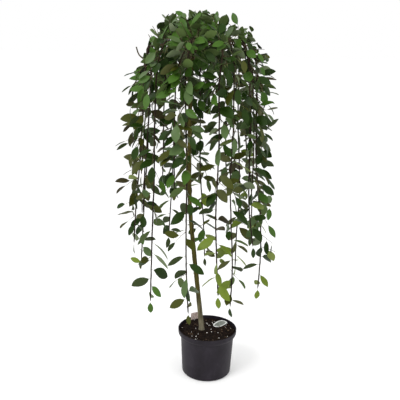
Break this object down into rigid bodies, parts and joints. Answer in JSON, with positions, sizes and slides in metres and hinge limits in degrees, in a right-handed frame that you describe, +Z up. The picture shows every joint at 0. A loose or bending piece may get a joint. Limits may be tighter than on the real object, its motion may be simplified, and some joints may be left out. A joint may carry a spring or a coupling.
{
  "type": "potted weeping willow",
  "caption": "Weeping willow grafted on a straight stem in a filled black nursery pot, with arching boughs and long hanging leafy whips.",
  "frame": {"origin": "centre of the pot's flat underside, on the surface it stands on", "axes": "+Z up along the pot's axis; the front of the plant faces -Y and the trunk leans towards -X"},
  "size_m": [0.702, 0.7035, 1.6846],
  "materials": {
    "pot_plastic": "satin",
    "compost": "rough",
    "label_plastic": "satin",
    "tag_plastic": "satin",
    "bark": "rough",
    "foliage": "satin"
  },
  "bodies": {
    "root": {"pot": "pot_plastic", "soil": "compost", "plant_label": "label_plastic", "rim_tag": "tag_plastic", "trunk": "bark", "bough_right": "bark", "bough_right_back": "bark", "bough_back_right": "bark", "bough_back": "bark", "bough_back_left": "bark", "bough_left_back": "bark", "bough_left": "bark", "bough_left_front": "bark", "bough_front_left": "bark", "bough_front_right": "bark", "bough_right_front": "bark", "bough_inner_1": "bark", "bough_inner_2": "bark", "bough_inner_3": "bark", "bough_inner_4": "bark", "bough_inner_5": "bark", "foliage_right": "foliage", "foliage_right_back": "foliage", "foliage_back_right": "foliage", "foliage_back": "foliage", "foliage_back_left": "foliage", "foliage_left_back": "foliage", "foliage_left": "foliage", "foliage_left_front": "foliage", "foliage_front_left": "foliage", "foliage_front_right": "foliage", "foliage_right_front": "foliage", "foliage_inner_1": "foliage", "foliage_inner_2": "foliage", "foliage_inner_3": "foliage", "foliage_inner_4": "foliage", "foliage_inner_5": "foliage"}
  },
  "joints": []
}
